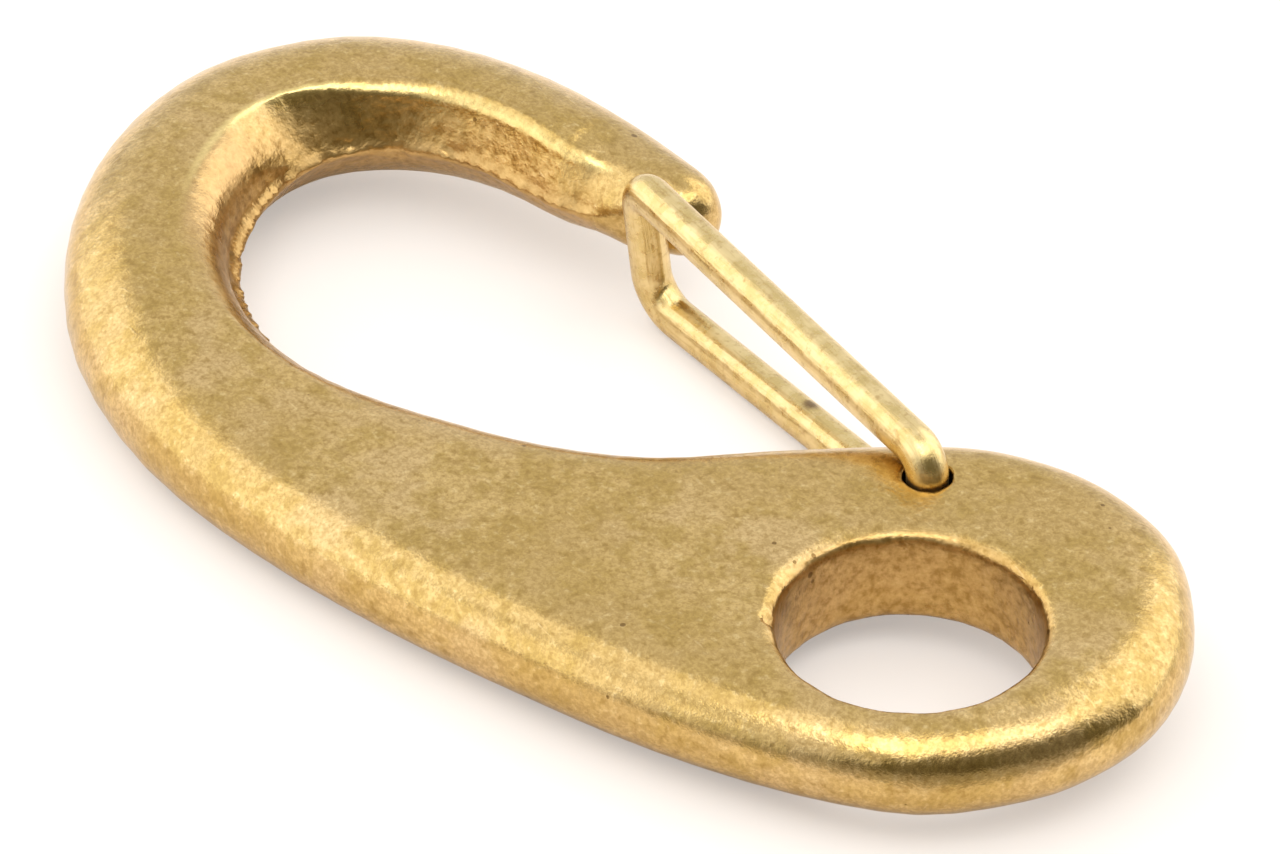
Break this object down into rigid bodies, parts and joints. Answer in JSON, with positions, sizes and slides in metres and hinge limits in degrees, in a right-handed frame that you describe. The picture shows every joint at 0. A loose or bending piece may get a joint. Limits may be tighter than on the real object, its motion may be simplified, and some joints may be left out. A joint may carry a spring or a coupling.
{
  "type": "spring gate snap hook",
  "caption": "Cast brass hook with an eye at one end, its mouth closed by a sprung bent-wire gate.",
  "frame": {"origin": "centre of the eye, on the casting's mid-plane", "axes": "+X from the eye to the outer end of the bow, +Y to the back of the hook, away from the gate, +Z out of the face with the gate's upper hole"},
  "size_m": [0.0701, 0.0356, 0.01],
  "materials": {
    "cast_brass": "tumbled, satin",
    "drawn_brass": "drawn wire, satin"
  },
  "bodies": {
    "hook_body": {"hook_body": "cast_brass"},
    "wire_gate": {"wire_gate": "drawn_brass"}
  },
  "joints": [
    {"name": "gate_swing", "type": "hinge", "parent": "hook_body", "child": "wire_gate", "pos_m": [0.008, -0.0075, 0], "axis": [0, 0, 1], "range_deg": [0, 30], "stiffness_Nm_per_rad": 0.3, "springref_deg": -17.19, "deforming": ["wire_gate"]}
  ]
}
